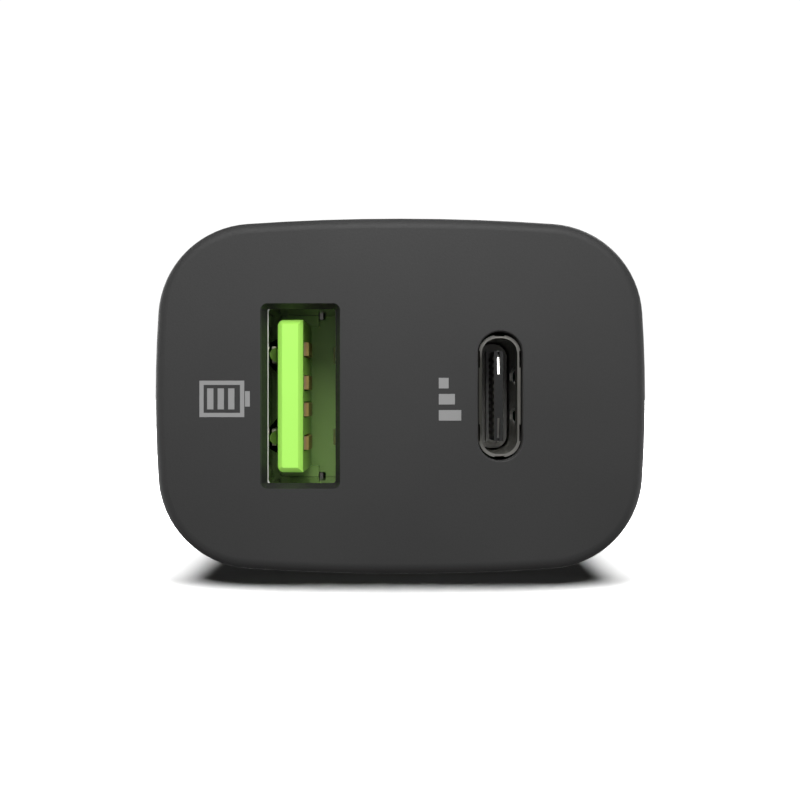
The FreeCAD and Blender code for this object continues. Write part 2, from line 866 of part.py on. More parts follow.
def make_lead(points, label):
    """An insulated lead from a contact spring's tab down to the main board."""
    return subpart(shaped(lead([Vector(*p) for p in points], 0.65), label), label)


# ---------------------------------------------------------------- type A receptacle


def make_a_shell():
    """The folded steel tube, with windows for its fingers, legs for the board and two lugs that
    enter the insulator's pockets."""
    body = new_body("a_shell_body")
    rear = "port_board_front + 0.1"
    grow(
        body, "XZ_Plane", rear, "a_front", draw_rounded, "-port_offset", "0",
        "a_open_width + 2*a_sheet", "a_open_height + 2*a_sheet", "a_corner + a_sheet",
    )
    carve(
        body, "XZ_Plane", rear, "a_front",
        draw_rounded, "-port_offset", "0", "a_open_width", "a_open_height", "a_corner",
    )
    windows = [
        window_outline(z, "a_window_rear", "a_window_front", "a_window_rear_half", "a_window_front_half")
        for z in finger_places()
    ]
    for low, high in both("a_open_width/2 - 0.2", "a_open_width/2 + a_sheet + 0.2"):
        carve(
            body, "YZ_Plane", f"-port_offset + {low}", f"-port_offset + {high}",
            draw_many, draw_polygon, *windows,
        )
    front_corners = both_tests(runs_along("X"), at_y("-a_window_front"))
    dress(body, "Fillet", "a_window_round", front_corners)
    legs = [
        block(
            ("-port_offset - a_leg_half", "-port_offset + a_leg_half"),
            (f"-({rear}) - 0.2", "-port_board_front + board + leg_reach"),
            span,
        )
        for span in both("a_open_height/2", "a_open_height/2 + a_sheet")
    ]
    lug_edge = "-port_offset + a_shoulder_edge + 0.03"
    lugs = [
        block(
            (lug_edge, f"{lug_edge} + a_lug_width"),
            ("-a_base_front + 0.05", "-a_base_front + 0.05 + a_lug_length"),
            span,
        )
        for span in both("a_open_height/2 - a_lug_height", "a_open_height/2 + 0.05")
    ]
    return subpart(union(body, *legs, *lugs), "usb_a_shell")


def window_outline(z, rear, front, rear_half, front_half):
    """The outline of a window in a side wall, centred on z and narrower towards the front."""
    return [
        (f"-{rear}", f"{z} - {rear_half}"),
        (f"-{rear}", f"{z} + {rear_half}"),
        (f"-{front}", f"{z} + {front_half}"),
        (f"-{front}", f"{z} - {front_half}"),
    ]


def finger_places():
    return ("a_finger_place", "-a_finger_place")


def bowed_strip(side, crest, front, z, label):
    """A finger that leaves the wall on one side of the port, bows inward and comes back to it."""
    wall = size("a_open_width/2 + a_sheet/2")
    apex = wall - size("a_finger_rise")
    root = -size("a_finger_root + a_sheet/2")
    straight = 0.8
    profile = [(wall, root), (wall, root - straight), (apex, -size(crest)), (wall, -size(front))]
    points = [(side * u - size("port_offset"), y) for u, y in profile]
    return shaped(ribbon(points, size("a_sheet"), size("a_finger_width"), size(z)), label)


def make_a_left_fingers():
    """Two bowed fingers in the windows of the left wall, whose flared ends are round."""
    fingers = []
    radius = "a_finger_width/2"
    nose = f"-port_offset - a_open_width/2 + {radius}"
    for i, z in enumerate(finger_places()):
        strip = bowed_strip(-1, "a_left_crest", "a_left_front", z, f"left_strip_{i}")
        end = rod("Y", radius, "2", nose, "-a_left_crest - 1.9", z)
        rest = block(
            ("-port_offset - a_open_width", "-port_offset"),
            ("-a_left_crest", "-a_finger_root + 1"),
            finger_span(z),
        )
        finger = doc.addObject("Part::MultiCommon", "left_finger")
        finger.Shapes = [strip, union(end, rest)]
        fingers.append(finger)
    return subpart(group(*fingers), "usb_a_left_springs")


def finger_span(z):
    return (f"{z} - a_finger_width/2", f"{z} + a_finger_width/2")


def make_a_right_fingers():
    """Two bowed fingers in the windows of the right wall."""
    strips = [
        bowed_strip(1, "a_right_crest", "a_right_front", z, f"right_strip_{i}")
        for i, z in enumerate(finger_places())
    ]
    return subpart(group(*strips), "usb_a_right_springs")


def a_contact_places():
    """The four contacts' places along the port."""
    return ("a_contact_outer", "a_contact_inner", "-a_contact_inner", "-a_contact_outer")


def make_a_insulator():
    """The green moulding: a base that closes the shell, and the tongue with its four grooves."""
    half_width, half_height = "(a_open_width/2 - 0.02)", "(a_open_height/2 - 0.02)"
    base = block(
        (f"-port_offset - {half_width}", f"-port_offset + {half_width}"),
        ("-a_base_front", "-port_board_front - 0.1"),
        (f"-{half_height}", half_height),
    )
    tongue = block(
        ("-port_offset + a_tongue_low", "-port_offset + a_tongue_high"),
        ("-a_tongue_tip", "-a_base_front"),
        ("-a_tongue_half", "a_tongue_half"),
    )
    left = both_tests(runs_along("Y"), at_x("-port_offset + a_tongue_low"))
    tip = chamfered_front(rounded(tongue, "a_tongue_chamfer + 0.1", left))
    shoulders = [
        block(
            ("-port_offset + a_tongue_low", "-port_offset + a_shoulder_edge"),
            ("-a_base_front - a_shoulder_length", "-a_base_front"),
            span,
        )
        for span in both("a_tongue_half - 0.05", half_height)
    ]
    grooves = []
    for z in a_contact_places():
        grooves.append(
            block(
                ("-port_offset + a_groove_floor", "-port_offset + a_tongue_high + 0.1"),
                ("-a_groove_front", "-a_base_front"),
                (f"{z} - a_contact_width/2 - seat_gap", f"{z} + a_contact_width/2 + seat_gap"),
            )
        )
    pockets = [
        block(
            ("-port_offset + a_shoulder_edge", "-port_offset + a_shoulder_edge + a_pocket_width"),
            ("-a_base_front - 0.01", "-a_base_front + a_pocket_depth"),
            span,
        )
        for span in both("a_open_height/2 - a_pocket_height", "a_open_height/2")
    ]
    moulding = union(rounded(base, "0.3", runs_along("Y")), tip, *shoulders)
    return subpart(difference(moulding, *grooves, *pockets, *a_tail_holes()), "usb_a_insulator")


def chamfered_front(tongue):
    """The tongue with the edges of its front face chamfered."""
    doc.recompute()
    cut = size("a_tongue_chamfer")
    front = at_y("-a_tongue_tip")
    chamfer = doc.addObject("Part::Chamfer", "tongue")
    chamfer.Base = tongue
    chamfer.Edges = [
        (i, cut, cut) for i, e in enumerate(tongue.Shape.Edges, start=1) if front(e)
    ]
    return chamfer


def a_tail_holes():
    return [
        block(
            ("-port_offset - a_tail_half - 0.02", "-port_offset + a_tail_half + 0.02"),
            ("-port_board_front - 1.5", "-port_board_front"),
            (f"{z} - a_tail_half - 0.02", f"{z} + a_tail_half + 0.02"),
        )
        for z in a_contact_places()
    ]


def make_a_contacts():
    """Four sprung strips in the tongue's grooves: a steep nose, a crest that stands proud of the
    tongue and a long slope back to the root."""
    centre = -size("port_offset")
    sunk = size("a_contact_sunk")
    crest = size("a_tongue_high + a_contact_proud - a_contact_sheet/2")
    root = -size("a_base_front + 0.18")
    profile = [
        (sunk, root),
        (sunk, root - 1.0),
        (crest, root - 2.6),
        (crest, -size("a_contact_crest")),
        (sunk, -size("a_contact_nose")),
    ]
    points = [(centre + u, y) for u, y in profile]
    sheet_metal, width = size("a_contact_sheet"), size("a_contact_width")
    strips = [
        shaped(ribbon(points, sheet_metal, width, size(z)), f"a_contact_{i}")
        for i, z in enumerate(a_contact_places())
    ]
    return subpart(group(*strips), "usb_a_contacts")


def make_a_tails():
    """The fixed ends of the four contacts: square pins from the base through the port board."""
    pins = [
        block(
            ("-port_offset - a_tail_half", "-port_offset + a_tail_half"),
            ("-port_board_front - 1.45", "-port_board_front + board + 0.6"),
            (f"{z} - a_tail_half", f"{z} + a_tail_half"),
        )
        for z in a_contact_places()
    ]
    return subpart(group(*pins), "usb_a_tails")


# ---------------------------------------------------------------- type C receptacle


def make_c_shell():
    """The drawn stadium tube, with shallow dents outside its mouth, two tapered windows in its
    right wall and four legs."""
    body = new_body("c_shell_body")
    rear = "port_board_front + 0.1"
    outer_width, outer_height = "(c_open_width + 2*c_sheet)", "(c_open_height + 2*c_sheet)"
    grow(
        body, "XZ_Plane", rear, "c_front", draw_rounded, "port_offset", "0",
        outer_width, outer_height, "c_corner + c_sheet",
    )
    carve(
        body, "XZ_Plane", rear, "c_front", draw_rounded, "port_offset", "0",
        "c_open_width", "c_open_height", "c_corner",
    )
    windows = [
        window_outline(z, "c_window_rear", "c_window_front", "c_window_rear_half", "c_window_front_half")
        for z in ("c_window_place", "-c_window_place")
    ]
    carve(
        body, "YZ_Plane",
        "port_offset + c_open_width/2 - 0.1", "port_offset + c_open_width/2 + c_sheet + 0.1",
        draw_many, draw_polygon, *windows,
    )
    mouth = ("-c_front - 0.1", "-c_front + c_seam_length")
    dents = [
        block(("port_offset - c_seam_half", "port_offset + c_seam_half"), mouth, z)
        for z in both("c_open_height/2 + c_sheet - c_dent", "c_open_height/2 + c_sheet + 0.1")
    ]
    dents += [
        block((f"port_offset + {low}", f"port_offset + {high}"), mouth, z)
        for low, high in both("c_open_width/2 + c_sheet - c_dent", "c_open_width/2 + c_sheet + 0.1")
        for z in both("c_dent_near", "c_dent_far")
    ]
    legs = [
        block(
            (f"port_offset + {low}", f"port_offset + {high}"),
            (f"-({rear}) - 0.2", "-port_board_front + board + leg_reach"),
            (f"{z} - c_leg_half", f"{z} + c_leg_half"),
        )
        for low, high in both("c_open_width/2", "c_open_width/2 + c_sheet")
        for z in ("-c_leg_place", "c_leg_place")
    ]
    return subpart(union(difference(body, *dents), *legs), "usb_c_shell")


def plate_span(grow_by="0"):
    """The plate's thickness along X, with room each side if asked for."""
    half = f"(c_plate/2 + {grow_by})"
    return f"port_offset - {half}", f"port_offset + {half}"


def draw_plate(sketch):
    """The plate seen from the side: its front edge carries two sloping prongs."""
    rear, front, tip = "-c_base_front + 2.5", "-c_tongue_tip + c_prong_set", "-c_tongue_tip + 0.02"
    edge = "c_tongue_width/2 + 0.06"
    upper = [(rear, edge), (front, edge), (front, "c_prong_far"), (tip, "c_prong_near")]
    upper.append((front, "c_prong_near"))
    lower = [(y, f"-({z})") for y, z in reversed(upper)]
    draw_polygon(sketch, *upper, *lower)


def make_c_insulator():
    """The dark moulding: a base with a rounded floor, a thicker root and the thin tongue, which is
    slotted for the plate's prongs and moulded round the rest of it."""
    body = new_body("c_base")
    grow(
        body, "XZ_Plane", "port_board_front + 0.1", "c_base_front", draw_rounded,
        "port_offset", "0",
        "c_open_width - 2*c_base_gap", "c_open_height - 2*c_base_gap", "c_corner - c_base_gap",
    )
    root = block(
        ("port_offset - c_root_half", "port_offset + c_root_half"),
        ("-c_base_front - c_root_length", "-c_base_front + 0.5"),
        ("-c_tongue_width/2 - 0.2", "c_tongue_width/2 + 0.2"),
    )
    tongue = block(
        ("port_offset - c_tongue_thickness/2", "port_offset + c_tongue_thickness/2"),
        ("-c_tongue_tip", "-c_base_front"),
        ("-c_tongue_width/2", "c_tongue_width/2"),
    )
    moulding = union(body, root, tongue)
    plate_room = new_body("c_plate_room")
    grow(plate_room, "YZ_Plane", *plate_span(), draw_plate)
    slots = [
        block(
            plate_span("0.02"),
            ("-c_tongue_tip - 0.1", "-c_tongue_tip + c_prong_set"),
            span,
        )
        for span in both("c_prong_near - 0.02", "c_prong_far + c_slot_room")
    ]
    pin_marks = [
        rod("Y", "c_pin_radius", "0.4", "port_offset", "-c_tongue_tip - 0.1", z)
        for z in ("c_pin_place", "-c_pin_place")
    ]
    return subpart(difference(moulding, plate_room, *slots, *pin_marks), "usb_c_insulator")


def make_c_mid_plate():
    """The steel plate in the middle of the tongue, with a latch notch in each edge."""
    body = new_body("c_plate_body")
    grow(body, "YZ_Plane", *plate_span(), draw_plate)
    notches = [
        ("-c_latch_far", low, "-c_latch_near", high)
        for low, high in both("c_tongue_width/2 - c_latch_depth", "c_tongue_width/2 + 1")
    ]
    carve(body, "YZ_Plane", *plate_span("0.1"), draw_many, draw_rectangle, *notches)
    return subpart(body, "usb_c_mid_plate")


def make_c_contacts():
    """Twelve flat contacts on each face of the tongue."""
    strips = []
    for low, high in both("c_tongue_thickness/2", "c_tongue_thickness/2 + c_contact_proud"):
        for i in range(12):
            z = f"({i} - 5.5) * c_contact_pitch"
            strips.append(
                block(
                    (f"port_offset + {low}", f"port_offset + {high}"),
                    ("-c_tongue_tip + c_prong_set", "-c_base_front - c_root_length - 0.05"),
                    (f"{z} - c_contact_half", f"{z} + c_contact_half"),
                )
            )
    return subpart(group(*strips), "usb_c_contacts")


# ---------------------------------------------------------------- boards


def make_port_board():
    """The board parallel to the face that carries both receptacles."""
    body = new_body("port_board_body")
    near, far = "port_board_front - board", "port_board_front"
    grow(
        body, "XZ_Plane", near, far,
        draw_rounded, "0", "0", "port_board_width", "port_board_height", "2.5",
    )
    a_leg = "a_open_height/2 + a_sheet/2"
    slots = [("-port_offset", z, "2*a_leg_half + 0.4", "0.6", "0.2") for z in (a_leg, f"-({a_leg})")]
    c_leg = "c_open_width/2 + c_sheet/2"
    slots += [
        (f"port_offset + {x}", z, "0.6", "2*c_leg_half + 0.4", "0.2")
        for x in (c_leg, f"-({c_leg})")
        for z in ("-c_leg_place", "c_leg_place")
    ]
    carve(body, "XZ_Plane", near, far, draw_many, draw_rounded, *slots)
    pins = [("-port_offset", z, "0.5") for z in a_contact_places()]
    carve(body, "XZ_Plane", near, far, draw_many, draw_circle, *pins)
    return subpart(body, "port_board")


def make_main_board():
    """The power board on the bottom rails."""
    body = new_body("main_board_body")
    grow(
        body, "XY_Plane", "main_board_top - board", "main_board_top", draw_rectangle,
        "-main_board_width/2", "-(port_board_front - board)",
        "main_board_width/2", "-main_board_rear",
    )
    return subpart(body, "main_board")


def make_board_link_pins():
    """Right-angle pins that carry the output from the main board to the port board."""
    pins = []
    rear = "-(port_board_front - board)"
    for i in range(6):
        x = f"1.5 + {i}*1.6"
        across = (f"{x} - 0.3", f"{x} + 0.3")
        foot = block(across, (f"{rear} + 0.9", f"{rear} + 1.5"), ("main_board_top", "-5.8"))
        arm = block(across, (rear, f"{rear} + 1.5"), ("-6.4", "-5.8"))
        pins.append(union(foot, arm))
    return subpart(group(*pins), "board_link_pins")


# ---------------------------------------------------------------- transformer

CORE_Y = "-32"


def make_transformer():
    """Two ferrite E halves round a bobbin with its winding and tape; its axis runs along Y."""
    core_block = block(("-8.6", "8.6"), (f"{CORE_Y} - 8", f"{CORE_Y} + 8"), ("-5.2", "5.8"))
    windows = [
        block(x, (f"{CORE_Y} - 5.6", f"{CORE_Y} + 5.6"), ("-6", "6.5")) for x in both("2.9", "6.3")
    ]
    post_trim = [
        block(("-3", "3"), (f"{CORE_Y} - 5.6", f"{CORE_Y} + 5.6"), z)
        for z in (("-6", "-2.6"), ("3.2", "6.5"))
    ]
    subpart(difference(core_block, *windows, *post_trim), "transformer_core")

    post = ("-2.95", "2.95"), ("-2.65", "3.25")

    def sleeve(grow_by, length):
        x = (f"-2.95 - {grow_by}", f"2.95 + {grow_by}")
        z = (f"-2.65 - {grow_by}", f"3.25 + {grow_by}")
        return block(x, (f"{CORE_Y} - {length}/2", f"{CORE_Y} + {length}/2"), z)

    flanges = [
        block(("-6.2", "6.2"), y, ("-5.9", "6.4"))
        for y in ((f"{CORE_Y} - 5.5", f"{CORE_Y} - 4.8"), (f"{CORE_Y} + 4.8", f"{CORE_Y} + 5.5"))
    ]
    bore = block(post[0], (f"{CORE_Y} - 9", f"{CORE_Y} + 9"), post[1])
    pins = [
        rod("Z", "0.35", "1.6", x, y, "main_board_top")
        for x in ("-5", "0", "5")
        for y in (f"{CORE_Y} - 5.15", f"{CORE_Y} + 5.15")
    ]
    subpart(difference(union(sleeve("0.6", "11"), *flanges, *pins), bore), "transformer_bobbin")
    winding = difference(sleeve("1.9", "9.4"), sleeve("0.65", "12"))
    subpart(winding, "transformer_winding")
    subpart(difference(sleeve("2.1", "9.3"), sleeve("1.95", "12")), "transformer_tape")


# ---------------------------------------------------------------- components


def standing_cylinder(radius, height, x, y):
    """A capacitor body on the main board, with a rounded top."""
    can = rod("Z", radius, height, x, y, "main_board_top + 0.1")
    top = size(f"main_board_top + 0.1 + {height}")
    return rounded(can, "0.4", lambda edge: all(abs(v.Z - top) < 1e-4 for v in edge.Vertexes))


def box_at(x, y, z, width, length, height):
    """A rectangular component: centred on x and y, standing on z."""
    return block(
        (f"{x} - {width}/2", f"{x} + {width}/2"),
        (f"{y} - {length}/2", f"{y} + {length}/2"),
        (z, f"{z} + {height}"),
    )


def make_components():
    top, under = "main_board_top", "main_board_top - board"
    bulk = [standing_cylinder("4.6", "15.6", x, "-18.2") for x in ("-1", "8.4")]
    subpart(group(*bulk), "bulk_capacitors")
    output = [standing_cylinder("2.9", "8", x, "-43.2") for x in ("-10.2", "-4")]
    subpart(group(*output), "output_capacitors")
    subpart(rod("Y", "1.5", "7", "-11.4", "-26.5", f"{top} + 1.6"), "input_fuse")
    subpart(standing_cylinder("2.1", "7", "-7.4", "-21.2"), "input_choke")
    subpart(box_at("-11.1", "-30.5", top, "3.9", "5", "1.5"), "bridge_rectifier")
    subpart(box_at("-10.95", "-37", top, "4.1", "6.4", "3.4"), "optocoupler")
    disc = rod("X", "3", "2.4", "10.4", "-28.4", f"{top} + 4.4")
    wires = [rod("Z", "0.3", "3", "11.6", y, top) for y in ("-26.4", "-30.4")]
    subpart(union(disc, *wires), "y_capacitor")
    inductor = box_at("10.9", "-37.4", top, "4.4", "6.8", "4.6")
    subpart(rounded(inductor, "0.8", runs_along("Z")), "output_inductor")
    subpart(box_at("-3", "-22", f"{under} - 1.1", "5", "4", "1.1"), "controller_chip")
    subpart(box_at("4", "-38", f"{under} - 1", "5", "6", "1"), "sync_rectifier_chip")
    protocol = [
        block((f"{x} - 2", f"{x} + 2"), ("-port_board_front + board", "-45.7"), ("2.6", "6.6"))
        for x in ("-3.6", "11")
    ]
    subpart(group(*protocol), "protocol_chips")
    resistors = [
        box_at(f"-9 + {i}*2.4", y, f"{under} - 0.5", "1.2", "2", "0.5")
        for y in ("-28", "-32")
        for i in range(6)
    ]
    subpart(group(*resistors), "chip_resistors")
    spreader = block(("-9", "9"), ("-43", "-24"), ("9.4", "9.9"))
    subpart(rounded(spreader, "1", runs_along("Z")), "heat_spreader")
    subpart(block(("-8", "8"), ("-39.5", "-24.5"), ("6.45", "9.4")), "thermal_pad")
    subpart(block(("-11", "11"), ("-45", "-14.5"), ("-10.3", "-10.12")), "insulation_sheet")


# ---------------------------------------------------------------- the charger

marks = make_port_marks()
make_front_housing(marks)
make_rear_cover()

blade_low = "(blade_spacing - blade_thickness)/2"
blade_high = "(blade_spacing + blade_thickness)/2"
blade_spans = both(blade_low, blade_high)
blades = [
    make_blade(span, label) for span, label in zip(blade_spans, ("upper_blade", "lower_blade"))
]
make_blade_carrier(blades)
make_pivot_retainer()
make_retainer_screws()
make_contact_spring("blade_spacing/2", "upper_contact_spring")
make_contact_spring("-blade_spacing/2", "lower_contact_spring")
make_lead(
    [(-1.87, -10.9, 6.35), (-8, -10.9, 6.35), (-11.6, -13, 2), (-11.6, -14.6, -4), (-11.6, -14.6, -7.5)],
    "upper_lead",
)
make_lead(
    [(-1.87, -10.9, -6.35), (-5.4, -10.9, -6.35), (-7.6, -14.8, -3.6), (-7.6, -14.8, -7.5)],
    "lower_lead",
)

make_a_shell()
make_a_left_fingers()
make_a_right_fingers()
make_a_insulator()
make_a_contacts()
make_a_tails()
make_c_shell()
make_c_insulator()
make_c_mid_plate()
make_c_contacts()
make_port_board()
make_main_board()
make_board_link_pins()
make_transformer()
make_components()

doc.recompute()
for thing in doc.Objects:
    if "Invalid" in thing.State or "Error" in thing.State:
        raise RuntimeError(f"{thing.Label}: {thing.State}")
for thing in subparts:
    if thing.Shape.isNull() or not thing.Shape.isValid():
        raise RuntimeError(f"{thing.Label}: its shape isn't valid")

os.makedirs("parts", exist_ok=True)
for thing in subparts:
    thing.Shape.exportStep(f"parts/{thing.Label}.step")
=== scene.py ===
"""The looks of a two-port USB wall charger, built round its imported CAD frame.

Row frame, in metres: the port face looks along -Y, +Z is up and +X is to the right.
"""

import math

import bpy
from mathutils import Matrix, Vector


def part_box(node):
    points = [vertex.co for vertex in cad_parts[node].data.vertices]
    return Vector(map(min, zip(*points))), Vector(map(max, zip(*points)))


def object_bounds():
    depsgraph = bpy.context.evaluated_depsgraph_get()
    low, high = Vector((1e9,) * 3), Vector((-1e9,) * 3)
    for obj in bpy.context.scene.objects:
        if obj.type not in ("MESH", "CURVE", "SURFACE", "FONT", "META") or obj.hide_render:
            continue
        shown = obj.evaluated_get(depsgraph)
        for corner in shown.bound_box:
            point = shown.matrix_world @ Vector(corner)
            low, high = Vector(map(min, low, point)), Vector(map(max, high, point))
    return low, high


MM = 0.001

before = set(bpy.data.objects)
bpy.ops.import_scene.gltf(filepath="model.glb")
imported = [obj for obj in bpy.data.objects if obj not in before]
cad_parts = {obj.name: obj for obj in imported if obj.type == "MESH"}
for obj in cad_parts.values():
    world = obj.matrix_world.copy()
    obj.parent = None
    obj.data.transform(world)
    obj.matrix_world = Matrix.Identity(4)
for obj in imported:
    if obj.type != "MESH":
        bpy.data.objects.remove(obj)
cad_box = [list(corner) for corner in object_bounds()]
low, high = (Vector(corner) for corner in cad_box)
front_low, front_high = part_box("front_housing")
shell_low, shell_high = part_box("usb_a_shell")


# ---------------------------------------------------------------- material helpers


def calculate(tree, operation, first, second=0.0):
    """A Math node on an output and either another output or a number."""
    node = tree.nodes.new("ShaderNodeMath")
    node.operation = operation
    tree.links.new(first, node.inputs[0])
    if isinstance(second, float):
        node.inputs[1].default_value = second
    else:
        tree.links.new(second, node.inputs[1])
    return node.outputs["Value"]


def map_range(tree, value, low_in, high_in, low_out, high_out, smooth=False):
    """A number carried from one range to another, evenly or in a soft step."""
    node = tree.nodes.new("ShaderNodeMapRange")
    if smooth:
        node.interpolation_type = "SMOOTHSTEP"
    node.inputs["From Min"].default_value = low_in
    node.inputs["From Max"].default_value = high_in
    node.inputs["To Min"].default_value = low_out
    node.inputs["To Max"].default_value = high_out
    tree.links.new(value, node.inputs["Value"])
    return node.outputs["Result"]


class Shader:
    """A node material with one Principled shader, built up a feature at a time."""

    def __init__(self, name, color, roughness, metallic=0.0, **sockets):
        self.material = bpy.data.materials.new(name)
        self.material.use_nodes = True
        self.tree = self.material.node_tree
        self.nodes = self.tree.nodes
        self.surface = self.nodes["Principled BSDF"]
        self.color = color
        self.roughness = roughness
        self.surface.inputs["Base Color"].default_value = (*color, 1.0)
        self.surface.inputs["Roughness"].default_value = roughness
        self.surface.inputs["Metallic"].default_value = metallic
        for socket, value in sockets.items():
            self.surface.inputs[socket.replace("_", " ")].default_value = value
        self.place = self.nodes.new("ShaderNodeTexCoord").outputs["Object"]
        self.paint = None

    def join(self, output, node, socket):
        self.tree.links.new(output, node.inputs[socket])

    def noise(self, size, detail, stretch=(1, 1, 1)):
        """Noise whose features are about size metres wide, longer along stretched axes."""
        mapping = self.nodes.new("ShaderNodeMapping")
        mapping.inputs["Scale"].default_value = [1 / (size * s) for s in stretch]
        self.join(self.place, mapping, "Vector")
        noise = self.nodes.new("ShaderNodeTexNoise")
        noise.inputs["Scale"].default_value = 1.0
        noise.inputs["Detail"].default_value = detail
        self.join(mapping.outputs["Vector"], noise, "Vector")
        return noise.outputs["Fac"]

    def spread(self, noise, low_out, high_out):
        """The middle of a noise's range, where nearly all of it lies, carried to another range."""
        return map_range(self.tree, noise, 0.3, 0.7, low_out, high_out)

    def mix_colors(self):
        """A colour mix, which becomes the surface's colour."""
        mix = self.nodes.new("ShaderNodeMix")
        mix.data_type = "RGBA"
        factor, first, second = mix.inputs[0], mix.inputs[6], mix.inputs[7]
        if self.paint is not None:
            self.tree.links.new(self.paint, first)
        self.paint = mix.outputs[2]
        self.join(self.paint, self.surface, "Base Color")
        return factor, first, second

    def tint(self, noise, darker, lighter):
        """Colour that varies with a noise between two shades of the base colour."""
        factor, *ends = self.mix_colors()
        self.tree.links.new(self.spread(noise, 0.0, 1.0), factor)
        for end, shade in zip(ends, (darker, lighter)):
            end.default_value = [c * shade for c in self.color] + [1.0]

    def change(self, amount, color):
        """Carries the colour made so far to another one, by a 0 to 1 amount."""
        factor, _, second = self.mix_colors()
        self.tree.links.new(amount, factor)
        second.default_value = (*color, 1.0)

    def drive(self, socket, amount, at_none, at_full):
        """Carries a number of the surface from one value to another, by a 0 to 1 amount."""
        self.join(map_range(self.tree, amount, 0.0, 1.0, at_none, at_full), self.surface, socket)

    def glow(self, amount, color, strength):
        """Light given off where the amount is 1, which makes a strong highlight."""
        self.surface.inputs["Emission Color"].default_value = (*color, 1.0)
        self.drive("Emission Strength", amount, 0.0, strength)

    def along(self, axis, start, end):
        """How far a point lies between two places on an axis, from 0 to 1."""
        split = self.nodes.new("ShaderNodeSeparateXYZ")
        self.join(self.place, split, "Vector")
        return map_range(self.tree, split.outputs[axis], start, end, 0.0, 1.0)

    def product(self, *factors):
        total = factors[0]
        for factor in factors[1:]:
            total = calculate(self.tree, "MULTIPLY", total, factor)
        return total

    def inside(self, box_low, box_high, blend):
        """1 within a box and 0 outside it, over a short blend."""
        sides = []
        for axis, start, end in zip("XYZ", box_low, box_high):
            sides.append(self.along(axis, start - blend, start))
            sides.append(self.along(axis, end + blend, end))
        return self.product(*sides)

    def vary_roughness(self, noise, spread):
        rough = self.spread(noise, self.roughness - spread, self.roughness + spread)
        self.join(rough, self.surface, "Roughness")

    def relief(self, height, depth):
        """Adds bump of the given depth in metres."""
        node = self.nodes.new("ShaderNodeBump")
        node.inputs["Distance"].default_value = depth
        node.inputs["Strength"].default_value = 1.0
        self.join(height, node, "Height")
        self.join(node.outputs["Normal"], self.surface, "Normal")


def moulded_plastic(name, color, roughness, grain, depth, **sockets):
    """Plastic from a spark-eroded mould: fine pits, faint flow marks, uneven gloss.

    The pits are about grain metres wide and depth metres deep.
    """
    shader = Shader(name, color, roughness, **sockets)
    pits = shader.noise(grain, detail=2.0)
    flow = shader.noise(9 * MM, detail=2.0)
    shader.tint(flow, 0.95, 1.05)
    shader.vary_roughness(pits, 0.05)
    shader.relief(pits, depth)
    return shader


def plated_metal(name, color, roughness, lines_along, metallic=1.0):
    """Rolled and plated metal: fine lines along one axis and a little tarnish."""
    shader = Shader(name, color, roughness, metallic)
    stretch = [30 if axis == lines_along else 1 for axis in "XYZ"]
    lines = shader.noise(0.06 * MM, detail=2.0, stretch=stretch)
    tarnish = shader.noise(2.5 * MM, detail=4.0)
    shader.tint(tarnish, 0.94, 1.02)
    shader.vary_roughness(tarnish, 0.03)
    shader.relief(lines, 0.002 * MM)
    return shader


# ---------------------------------------------------------------- materials that change by place


def casing_plastic(name, grey):
    """Fine matt plastic, with painted shade where it lines the type A port in front of its shell.
    """
    shader = moulded_plastic(name, (grey,) * 3, 0.58, 0.16 * MM, 0.006 * MM, IOR=1.42)
    lip = 0.08 * MM
    margin = Vector((0.4, 0.4, 0.4)) * MM
    throat_low = Vector((shell_low.x, front_low.y + lip, shell_low.z))
    throat_high = Vector((shell_high.x, shell_low.y, shell_high.z)) + margin
    # Painted shade: the throat of the type A port is coloured darker, as shade in that recess.
    painted_throat_shade = shader.inside(throat_low, throat_high, blend=0.05 * MM)
    shader.change(painted_throat_shade, (0.025, 0.025, 0.025))
    return shader


def shell_steel():
    """The type A shell: bright, with a painted highlight, pale and glowing, on the rough cut edge
    of the left half of its front.
    """
    shader = plated_metal("shell_steel", (0.62, 0.61, 0.57), 0.12, "Y")
    middle = (shell_low.x + shell_high.x) / 2
    at_front = shader.along("Y", shell_low.y + 0.08 * MM, shell_low.y + 0.04 * MM)
    at_left = shader.along("X", middle, middle - 1 * MM)
    # Painted highlight: the left half of the front edge is made pale and glowing, as a glint of
    # light.
    cut_edge_painted_highlight = shader.product(at_front, at_left)
    pale = (0.98, 0.98, 0.90)
    shader.change(cut_edge_painted_highlight, pale)
    shader.drive("Roughness", cut_edge_painted_highlight, 0.12, 0.55)
    shader.drive("Metallic", cut_edge_painted_highlight, 1.0, 0.15)
    shader.glow(cut_edge_painted_highlight, pale, 0.24)
    return shader


def rim_steel():
    """The type C shell, with painted highlights: paler from left to right, at its bends and at its
    windows' edges.
    """
    rim_low, rim_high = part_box("usb_c_shell")
    shader = plated_metal("rim_steel", (0.15, 0.15, 0.13), 0.32, "Y")
    # Painted light: the shell is coloured paler from left to right.
    shader.change(shader.along("X", rim_low.x, rim_high.x), (0.50, 0.49, 0.45))
    # Painted highlight: the bends at the top and bottom are coloured paler.
    for end in (rim_low.z, rim_high.z):
        shader.change(shader.along("Z", end * 0.6, end * 0.95), (0.74, 0.73, 0.68))
    # Painted highlight: the cut edges of the windows in the right wall are coloured pale, like
    # glints.
    in_right_wall = shader.along("X", rim_high.x - 0.22 * MM, rim_high.x - 0.18 * MM)
    behind_front = shader.along("Y", rim_low.y + 0.8 * MM, rim_low.y + 1 * MM)
    window_edges_painted_glint = shader.product(in_right_wall, behind_front)
    shader.change(window_edges_painted_glint, (0.90, 0.90, 0.84))
    shader.drive("Metallic", window_edges_painted_glint, 1.0, 0.2)
    return shader


